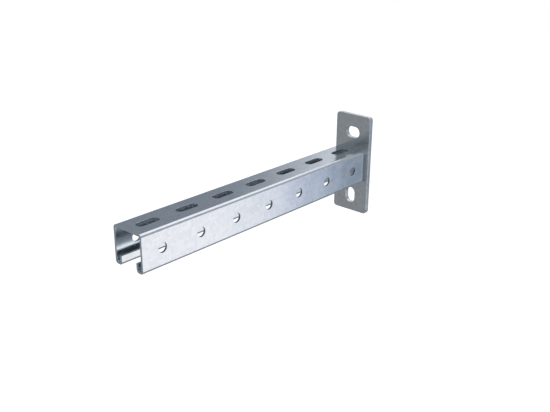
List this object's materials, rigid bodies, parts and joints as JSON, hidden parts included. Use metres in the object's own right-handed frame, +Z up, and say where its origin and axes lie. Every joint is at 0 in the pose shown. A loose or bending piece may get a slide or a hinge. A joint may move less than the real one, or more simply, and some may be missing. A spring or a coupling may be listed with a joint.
{
  "type": "cantilever strut arm",
  "caption": "Slotted strut channel arm with inturned lips, welded square to a flat wall plate with slots above and below it.",
  "frame": {"origin": "centre of the wall plate's wall face", "axes": "+X out along the arm away from the wall, +Z up, the channel's mouth faces down (-Z), +Y across the arm"},
  "size_m": [0.356, 0.05, 0.125],
  "materials": {
    "channel_zinc": "zinc-coated, semi-gloss",
    "plate_zinc": "zinc-coated, semi-gloss",
    "weld_zinc": "zinc-coated weld bead, satin"
  },
  "bodies": {
    "root": {"strut_channel": "channel_zinc", "wall_plate": "plate_zinc", "weld_left": "weld_zinc", "weld_right": "weld_zinc"}
  },
  "joints": []
}
